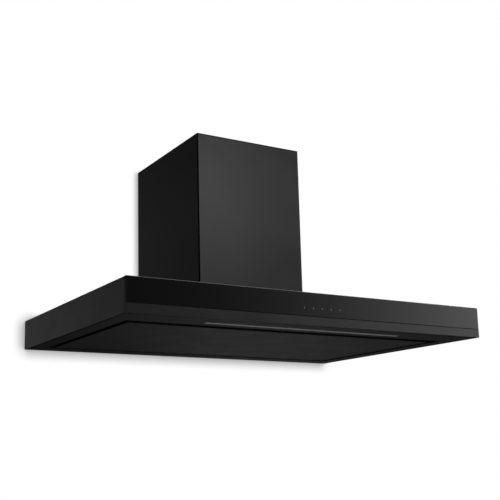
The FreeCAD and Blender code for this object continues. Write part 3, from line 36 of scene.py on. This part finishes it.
# ---------------------------------------------------------------- places read from the frame
CANOPY_LO, CANOPY_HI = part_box("canopy_shell")
PANEL_LO, PANEL_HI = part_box("perimeter_panel")
CHIMNEY_LO, CHIMNEY_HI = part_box("lower_chimney")
GLASS_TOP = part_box("front_glass")[1].z

# ---------------------------------------------------------------- camera, fitted to the photograph
IMAGE_SIZE = 500.0
PRINCIPAL_POINT = (200.0, 300.0)
FOCAL_PIXELS = 880.25
CAMERA_PLACE = Vector((-1.1061, -2.0660, -0.2697))
CAMERA_YAW = math.radians(29.012)
CAMERA_PITCH = math.radians(10.276)
CAMERA_ROLL = math.radians(-0.899)
SENSOR_MM = 36.0
NEAREST = 0.05
FARTHEST = 60.0


def make_camera():
    data = bpy.data.cameras.new("camera")
    data.sensor_width = SENSOR_MM
    data.lens = FOCAL_PIXELS / IMAGE_SIZE * SENSOR_MM
    data.shift_x = (IMAGE_SIZE / 2 - PRINCIPAL_POINT[0]) / IMAGE_SIZE
    data.shift_y = (PRINCIPAL_POINT[1] - IMAGE_SIZE / 2) / IMAGE_SIZE
    data.clip_start = NEAREST
    data.clip_end = FARTHEST
    camera = bpy.data.objects.new("camera", data)
    bpy.context.scene.collection.objects.link(camera)
    turn = Matrix.Rotation(-CAMERA_YAW, 4, "Z")
    tilt = Matrix.Rotation(math.pi / 2 + CAMERA_PITCH, 4, "X")
    roll = Matrix.Rotation(CAMERA_ROLL, 4, "Z")
    camera.matrix_world = Matrix.Translation(CAMERA_PLACE) @ turn @ tilt @ roll
    bpy.context.scene.camera = camera


# ---------------------------------------------------------------- node helpers
def new_material(name):
    material = bpy.data.materials.new(name)
    material.use_nodes = True
    nodes = material.node_tree.nodes
    shader = next(n for n in nodes if n.type == "BSDF_PRINCIPLED")
    return material, material.node_tree, shader


def feed(tree, socket, value):
    """Links a socket to the given one, or sets a plain colour or number on it."""
    if isinstance(value, bpy.types.NodeSocket):
        tree.links.new(value, socket)
    elif isinstance(value, tuple):
        socket.default_value = value + (1.0,)
    else:
        socket.default_value = value


def dress(tree, shader, **values):
    """Feeds the shader's own sockets; underscores in a name stand for spaces."""
    for name, value in values.items():
        feed(tree, shader.inputs[name.replace("_", " ")], value)


def place(tree):
    """Object coordinates, in metres."""
    return tree.nodes.new("ShaderNodeTexCoord").outputs["Object"]


def axes(tree):
    """The three object coordinates, each as its own socket."""
    split = tree.nodes.new("ShaderNodeSeparateXYZ")
    tree.links.new(place(tree), split.inputs["Vector"])
    return split.outputs["X"], split.outputs["Y"], split.outputs["Z"]


def stretched(tree, vector, scale):
    node = tree.nodes.new("ShaderNodeMapping")
    node.inputs["Scale"].default_value = scale
    tree.links.new(vector, node.inputs["Vector"])
    return node.outputs["Vector"]


def noise(tree, vector, scale, detail=2.0):
    node = tree.nodes.new("ShaderNodeTexNoise")
    node.inputs["Scale"].default_value = scale
    node.inputs["Detail"].default_value = detail
    tree.links.new(vector, node.inputs["Vector"])
    return node.outputs["Fac"]


def cells(tree, vector, scale, feature="F1"):
    node = tree.nodes.new("ShaderNodeTexVoronoi")
    node.feature = feature
    node.inputs["Scale"].default_value = scale
    tree.links.new(vector, node.inputs["Vector"])
    return node.outputs


def remap(tree, value, low, high, out_low, out_high):
    """Maps low..high to out_low..out_high, and holds the ends."""
    node = tree.nodes.new("ShaderNodeMapRange")
    sockets = ("From Min", "From Max", "To Min", "To Max")
    for socket, number in zip(sockets, (low, high, out_low, out_high)):
        node.inputs[socket].default_value = number
    tree.links.new(value, node.inputs["Value"])
    return node.outputs["Result"]


def spread(tree, value, low, high):
    """Maps the range that a noise mostly keeps to."""
    return remap(tree, value, 0.3, 0.7, low, high)


def calculate(tree, operation, first, second):
    """One arithmetic step; the second value may be a socket or a plain number."""
    node = tree.nodes.new("ShaderNodeMath")
    node.operation = operation
    tree.links.new(first, node.inputs[0])
    feed(tree, node.inputs[1], second)
    return node.outputs["Value"]


def blend(tree, factor, first, second):
    """Mixes two colours, or two numbers; the first may be a socket."""
    node = tree.nodes.new("ShaderNodeMix")
    node.data_type = "RGBA" if isinstance(second, tuple) else "FLOAT"
    feed(tree, node.inputs["A"], first)
    feed(tree, node.inputs["B"], second)
    tree.links.new(factor, node.inputs["Factor"])
    return node.outputs["Result"]


def bump(tree, shader, height, strength, distance):
    node = tree.nodes.new("ShaderNodeBump")
    node.inputs["Strength"].default_value = strength
    node.inputs["Distance"].default_value = distance
    tree.links.new(height, node.inputs["Height"])
    tree.links.new(node.outputs["Normal"], shader.inputs["Normal"])


def scaled(colour, factor):
    return tuple(c * factor for c in colour)


# ---------------------------------------------------------------- painted shade in the suction slot and at the frame's joint, and darker lines at the chimney's folds
SLOT_EDGE = 0.4 * MM
PANEL_RIM = 4.0 * MM
JOINT_SHADOW_WIDTH = 6.0 * MM
FOLD_LINE = 2.6 * MM
EDGE_RAMP = 0.4 * MM


def past(tree, value, limit):
    """0 up to the limit, and 1 from a little past it."""
    return remap(tree, value, limit, limit + EDGE_RAMP, 0.0, 1.0)


def short_of(tree, value, limit):
    """1 until a little short of the limit, and 0 from there."""
    return remap(tree, value, limit - EDGE_RAMP, limit, 1.0, 0.0)


def either(tree, first, *others):
    for other in others:
        first = calculate(tree, "MAXIMUM", first, other)
    return first


def both(tree, first, second):
    return calculate(tree, "MULTIPLY", first, second)


def sideways(tree, x, limit):
    """1 past the limit to either side."""
    return past(tree, calculate(tree, "ABSOLUTE", x, 0.0), limit)


def panel_slot_shade(tree):
    """Painted shade on the panel's turned-up edges, which stand inside the suction slot."""
    x, y, z = axes(tree)
    ends = sideways(tree, x, PANEL_HI.x - PANEL_RIM)
    front = short_of(tree, y, PANEL_LO.y + PANEL_RIM)
    rear = past(tree, y, PANEL_HI.y - PANEL_RIM)
    return both(tree, either(tree, ends, front, rear), past(tree, z, SLOT_EDGE))


def frame_slot_and_joint_shade(tree):
    """Painted shade on the frame's lips inside the slot, and a painted shadow line where it meets the
    canopy's folds.
    """
    x, y, z = axes(tree)
    ends = sideways(tree, x, CANOPY_HI.x - JOINT_SHADOW_WIDTH)
    front = short_of(tree, y, CANOPY_LO.y + JOINT_SHADOW_WIDTH)
    return either(tree, past(tree, z, SLOT_EDGE), ends, front)


def chimney_folds(tree):
    """Darker, less glossy lines along the two upright folds and the cut top edge."""
    x, y, z = axes(tree)
    side = sideways(tree, x, CHIMNEY_HI.x - FOLD_LINE)
    fold = both(tree, side, short_of(tree, y, CHIMNEY_LO.y + FOLD_LINE))
    return either(tree, fold, past(tree, z, CHIMNEY_HI.z - FOLD_LINE))


# ---------------------------------------------------------------- materials
# Pattern scales, in features to the metre.
PAINT_CLOUDS = 3.0
GLOSS_CLOUDS = 14.0
ORANGE_PEEL = 1400.0
GLASS_HAZE = 5.0
PLASTIC_CLOUDS = 30.0
SPARK_TEXTURE = 2200.0
DRAWN_STREAKS = 400.0
CAST_GRAIN = 180.0
ZINC_SPANGLE = 110.0
ZINC_GRAIN = 500.0
FROST_CLOUDS = 60.0
TRACKS = 160.0
MASK_CLOUDS = 60.0
FILTER_STRANDS = 150.0

COAT = (0.014, 0.014, 0.0144)
# Near black, barely reflecting paint: painted shade in the suction slot and along the frame's joint, and
# darker lines along the chimney's folds.
SHADE_AND_LINE_BLACK = (0.0015, 0.0015, 0.0015)
SHADE_AND_LINE_SPECULAR = 0.06


def powder_coat(name, colour, roughness, grain=0.02, specular=0.5, shade_and_line_where=None):
    """Satin black paint on sheet steel: a fine orange peel, and a faint unevenness in colour and gloss."""
    material, tree, shader = new_material(name)
    at = place(tree)
    paint = blend(tree, noise(tree, at, PAINT_CLOUDS, 3.0), colour, scaled(colour, 1.35))
    gloss = spread(tree, noise(tree, at, GLOSS_CLOUDS, 4.0), roughness - 0.03, roughness + 0.04)
    if shade_and_line_where:
        # Painted shade: where the mask says, the paint turns near black and barely reflects; on the chimney
        # it draws darker lines at the folds.
        shade_and_line_mask = shade_and_line_where(tree)
        paint = blend(tree, shade_and_line_mask, paint, SHADE_AND_LINE_BLACK)
        specular = remap(tree, shade_and_line_mask, 0.0, 1.0, specular, SHADE_AND_LINE_SPECULAR)
    dress(tree, shader, Base_Color=paint, Roughness=gloss, Specular_IOR_Level=specular)
    bump(tree, shader, noise(tree, at, ORANGE_PEEL), grain, 0.4 * MM)
    return material


def black_glass():
    """Back-painted glass: deep black and polished, with a pale ground arris at the top, partly the ground
    edge's own colour and partly a painted highlight along that edge.
    """
    material, tree, shader = new_material("black_glass")
    # Painted highlight: a pale band on the top millimetre, partly the whitish colour of a ground edge.
    arris_and_highlight = remap(tree, axes(tree)[2], GLASS_TOP - 1.0 * MM, GLASS_TOP - 0.4 * MM, 0.0, 1.0)
    colour = blend(tree, arris_and_highlight, (0.0035, 0.0035, 0.004), (0.45, 0.465, 0.46))
    haze = spread(tree, noise(tree, place(tree), GLASS_HAZE, 4.0), 0.05, 0.09)
    dress(tree, shader, IOR=1.58, Base_Color=colour, Roughness=blend(tree, arris_and_highlight, haze, 0.45))
    return material


def moulded(name, colour, roughness):
    """Moulded plastic with a fine spark texture."""
    material, tree, shader = new_material(name)
    at = place(tree)
    cloud = noise(tree, at, PLASTIC_CLOUDS, 3.0)
    tone = blend(tree, cloud, scaled(colour, 0.85), colour)
    gloss = spread(tree, cloud, roughness - 0.05, roughness + 0.05)
    dress(tree, shader, Base_Color=tone, Roughness=gloss)
    bump(tree, shader, noise(tree, at, SPARK_TEXTURE), 0.15, 0.3 * MM)
    return material


def metal(name, colour, roughness, stretch=(1.0, 1.0, 1.0), scale=DRAWN_STREAKS, grain=0.05):
    """Bare metal with a drawn or cast surface."""
    material, tree, shader = new_material(name)
    streak = noise(tree, stretched(tree, place(tree), stretch), scale, 4.0)
    tone = blend(tree, streak, scaled(colour, 0.78), colour)
    gloss = spread(tree, streak, roughness - 0.08, roughness + 0.08)
    dress(tree, shader, Metallic=1.0, Base_Color=tone, Roughness=gloss)
    bump(tree, shader, streak, grain, 0.4 * MM)
    return material


def galvanised():
    """Hot-dip zinc with its spangle."""
    material, tree, shader = new_material("galvanised")
    at = place(tree)
    spangle = remap(tree, cells(tree, at, ZINC_SPANGLE)["Color"], 0.0, 1.0, 0.0, 1.0)
    tone = blend(tree, spangle, (0.3, 0.31, 0.32), (0.46, 0.47, 0.48))
    gloss = remap(tree, spangle, 0.0, 1.0, 0.32, 0.5)
    dress(tree, shader, Metallic=1.0, Base_Color=tone, Roughness=gloss)
    bump(tree, shader, noise(tree, at, ZINC_GRAIN), 0.05, 0.3 * MM)
    return material


def frosted():
    """The unlit light bar: milky plastic."""
    material, tree, shader = new_material("frosted_bar")
    cloud = noise(tree, place(tree), FROST_CLOUDS)
    tone = blend(tree, cloud, (0.22, 0.224, 0.23), (0.27, 0.274, 0.28))
    gloss = spread(tree, cloud, 0.3, 0.38)
    dress(tree, shader, Subsurface_Weight=0.3, Subsurface_Scale=4.0 * MM, Base_Color=tone, Roughness=gloss)
    return material


def circuit():
    """Green solder mask over the tracks of a circuit board."""
    material, tree, shader = new_material("circuit")
    at = place(tree)
    tracks = tree.nodes.new("ShaderNodeTexBrick")
    tracks.inputs["Scale"].default_value = TRACKS
    tracks.inputs["Mortar Size"].default_value = 0.04
    feed(tree, tracks.inputs["Color1"], (0.01, 0.09, 0.03))
    feed(tree, tracks.inputs["Color2"], (0.012, 0.12, 0.04))
    feed(tree, tracks.inputs["Mortar"], (0.05, 0.2, 0.08))
    tree.links.new(at, tracks.inputs["Vector"])
    gloss = spread(tree, noise(tree, at, MASK_CLOUDS), 0.3, 0.42)
    dress(tree, shader, Base_Color=tracks.outputs["Color"], Roughness=gloss)
    return material


def filter_metal():
    """Layers of expanded aluminium mesh, with painted shade in the openings between the strands."""
    material, tree, shader = new_material("filter_mesh")
    at = stretched(tree, place(tree), (1.0, 1.7, 1.0))
    edge = cells(tree, at, FILTER_STRANDS, "DISTANCE_TO_EDGE")["Distance"]
    strand = remap(tree, edge, 0.03, 0.2, 1.0, 0.0)
    # Painted shade: the openings between the strands are near black.
    tone = blend(tree, strand, (0.05, 0.05, 0.052), (0.62, 0.62, 0.63))
    gloss = remap(tree, strand, 0.0, 1.0, 0.6, 0.3)
    dress(tree, shader, Metallic=1.0, Base_Color=tone, Roughness=gloss)
    bump(tree, shader, strand, 0.6, 1.2 * MM)
    return material


def make_materials():
    """A material for each of the record's slots, and for the three pieces whose paint carries painted shade
    in the slot and joint, and darker lines at the chimney's folds.
    """
    drawn = (0.02, 1.0, 1.0)
    return {
        "black_steel": powder_coat("powder_coat", COAT, 0.34),
        # Painted shade on the panel's slot edges, and on the frame's slot lips and joint line.
        "perimeter_panel": powder_coat("panel_coat_painted_shade", COAT, 0.34, shade_and_line_where=panel_slot_shade),
        "underside_frame": powder_coat("frame_coat_painted_shade", COAT, 0.36, specular=0.24, shade_and_line_where=frame_slot_and_joint_shade),
        "lower_chimney": powder_coat("chimney_coat", COAT, 0.34, shade_and_line_where=chimney_folds),
        "black_glass": black_glass(),
        "satin_trim": powder_coat("satin_strip", (0.009, 0.009, 0.0093), 0.28, grain=0.01),
        "touch_print": moulded("touch_print", (0.08, 0.082, 0.085), 0.4),
        "foam_tape": moulded("foam_tape", (0.01, 0.01, 0.01), 0.9),
        "circuit_board": circuit(),
        "white_plastic": moulded("white_plastic", (0.55, 0.55, 0.53), 0.5),
        "grey_plastic": moulded("grey_plastic", (0.09, 0.092, 0.096), 0.5),
        "black_plastic": moulded("black_plastic", (0.012, 0.012, 0.013), 0.45),
        "frosted_plastic": frosted(),
        "spring_steel": metal("spring_steel", (0.52, 0.52, 0.51), 0.28),
        "zinc_screws": metal("zinc_screws", (0.55, 0.56, 0.55), 0.33),
        "galvanised_steel": galvanised(),
        "aluminium": metal("drawn_aluminium", (0.6, 0.6, 0.61), 0.34, stretch=drawn),
        "filter_aluminium": filter_metal(),
        "motor_aluminium": metal("cast_aluminium", (0.42, 0.42, 0.43), 0.5, scale=CAST_GRAIN, grain=0.2),
        "cable_sleeve": moulded("cable_sleeve", (0.012, 0.012, 0.012), 0.7),
        "rubber": moulded("rubber", (0.01, 0.01, 0.01), 0.75),
    }


def dress_nodes(materials):
    """Each node takes its own finish where it has one, and otherwise that of its slot."""
    for row in frame["record"]["subparts"]:
        mesh = frame["nodes"][row["node"]].data
        mesh.materials.clear()
        mesh.materials.append(materials.get(row["node"], materials[row["material_slot"]]))


# ---------------------------------------------------------------- the wall card
WALL_GAP = 2.0 * MM
WALL_REACH = 20.0
SHADOW_REACH_LOW = 32.0 * MM
SHADOW_REACH_HIGH = 20.0 * MM
SHADOW_DEPTH = 1.15
SHADOW_SAMPLES = 16


def wall_material():
    """White with a soft shadow close to the hood, seen from the front; clear from behind."""
    material = bpy.data.materials.new("wall")
    material.use_nodes = True
    tree = material.node_tree
    tree.nodes.clear()
    near = tree.nodes.new("ShaderNodeAmbientOcclusion")
    height = axes(tree)[2]
    reach = remap(tree, height, CANOPY_HI.z, 2 * CANOPY_HI.z, SHADOW_REACH_LOW, SHADOW_REACH_HIGH)
    tree.links.new(reach, near.inputs["Distance"])
    near.samples = SHADOW_SAMPLES
    glow = tree.nodes.new("ShaderNodeEmission")
    shade = remap(tree, near.outputs["AO"], 0.0, 1.0, 1.0 - SHADOW_DEPTH, 1.0)
    tree.links.new(shade, glow.inputs["Strength"])
    clear = tree.nodes.new("ShaderNodeBsdfTransparent")
    behind = tree.nodes.new("ShaderNodeNewGeometry").outputs["Backfacing"]
    output = tree.nodes.new("ShaderNodeOutputMaterial")
    join_shaders(tree, behind, glow.outputs["Emission"], clear.outputs["BSDF"], output)
    return material


def join_shaders(tree, factor, first, second, output):
    mix = tree.nodes.new("ShaderNodeMixShader")
    tree.links.new(factor, mix.inputs["Fac"])
    tree.links.new(first, mix.inputs[1])
    tree.links.new(second, mix.inputs[2])
    tree.links.new(mix.outputs["Shader"], output.inputs["Surface"])


def make_wall():
    """A card just behind the hood, where the wall is, that only the camera sees."""
    x = WALL_REACH
    mesh = bpy.data.meshes.new("wall")
    corners = [(-x, WALL_GAP, -x), (x, WALL_GAP, -x), (x, WALL_GAP, x), (-x, WALL_GAP, x)]
    mesh.from_pydata(corners, [], [(0, 1, 2, 3)])
    mesh.materials.append(wall_material())
    wall = bpy.data.objects.new("wall", mesh)
    bpy.context.scene.collection.objects.link(wall)
    wall.visible_diffuse = False
    wall.visible_glossy = False
    wall.visible_transmission = False
    wall.visible_shadow = False


# ---------------------------------------------------------------- light
# Soft glows of the studio round the hood: azimuth from the front towards the right and elevation, both in
# degrees, then how narrow the glow is, and its strength.
SKY_GLOWS = {
    "right": (55.0, 8.0, 30.0, 1.65),
    "right_end": (68.0, 8.0, 30.0, 2.8),
    "front_high": (10.0, 50.0, 8.0, 0.25),
    "front_low": (-30.0, -22.0, 7.0, 0.35),
    "left_high": (-115.0, 28.0, 16.0, 0.22),
    "rear_left": (-171.0, 5.0, 30.0, 0.38),
    "rear_spot": (148.0, -6.0, 150.0, 0.145),
    "rear_right": (140.0, -8.0, 40.0, 0.044),
}
SKY_LEVEL = 0.004

# Soft boxes: place, the point it faces, width, height and watts.
SOFT_BOXES = {
    "chimney": ((0.274, -1.089, 0.53), (-0.13, -0.33, 0.3), 0.3, 0.5, 0.7),
    "chimney_high": ((0.26, -1.089, 0.98), (-0.13, -0.33, 0.45), 0.3, 0.3, 0.3),
    "low_front": ((0.3, -2.0, -1.0), (0.0, -0.3, 0.0), 1.0, 0.6, 20.0),
    "low_left": ((-2.4, -1.2, -0.9), (-0.3, -0.3, 0.1), 1.2, 0.8, 10.0),
    "below": ((-0.4, -0.7, -1.9), (0.0, -0.3, 0.0), 1.2, 1.2, 5.0),
    "high_right": ((2.3, -0.3, 1.5), (0.3, -0.3, 0.2), 1.2, 1.0, 25.0),
    "high_rear": ((0.9, 2.2, 1.8), (0.1, 0.0, 0.2), 1.4, 1.0, 40.0),
}


def sky_glow(tree, direction, azimuth, elevation, sharpness, strength):
    """A soft round glow about one direction of the studio: a power of the cosine to its axis."""
    across = math.radians(azimuth)
    up = math.radians(elevation)
    dot = tree.nodes.new("ShaderNodeVectorMath")
    dot.operation = "DOT_PRODUCT"
    dot.inputs[1].default_value = (math.sin(across) * math.cos(up), -math.cos(across) * math.cos(up),
                                   math.sin(up))
    tree.links.new(direction, dot.inputs[0])
    cosine = remap(tree, dot.outputs["Value"], 0.0, 1.0, 0.0, 1.0)
    return calculate(tree, "MULTIPLY", calculate(tree, "POWER", cosine, sharpness), strength)


def make_world():
    """White to the camera; a dim studio with soft glows to everything else."""
    world = bpy.data.worlds.new("studio")
    bpy.context.scene.world = world
    world.use_nodes = True
    tree = world.node_tree
    tree.nodes.clear()
    direction = tree.nodes.new("ShaderNodeTexCoord").outputs["Generated"]
    total = SKY_LEVEL
    for row in SKY_GLOWS.values():
        total = calculate(tree, "ADD", sky_glow(tree, direction, *row), total)
    studio = tree.nodes.new("ShaderNodeBackground")
    tree.links.new(total, studio.inputs["Strength"])
    white = tree.nodes.new("ShaderNodeBackground")
    feed(tree, white.inputs["Color"], (1.0, 1.0, 1.0))
    seen = tree.nodes.new("ShaderNodeLightPath").outputs["Is Camera Ray"]
    output = tree.nodes.new("ShaderNodeOutputWorld")
    join_shaders(tree, seen, studio.outputs["Background"], white.outputs["Background"], output)


def make_soft_boxes():
    for name, (spot, target, width, height, watts) in SOFT_BOXES.items():
        data = bpy.data.lights.new(name, "AREA")
        data.shape = "RECTANGLE"
        data.size = width
        data.size_y = height
        data.energy = watts
        light = bpy.data.objects.new(name, data)
        light.location = spot
        facing = Vector(target) - Vector(spot)
        light.rotation_euler = facing.to_track_quat("-Z", "Y").to_euler()
        light.visible_camera = False
        bpy.context.scene.collection.objects.link(light)


make_camera()
dress_nodes(make_materials())
make_wall()
make_world()
make_soft_boxes()
bpy.context.scene.view_settings.view_transform = "Standard"
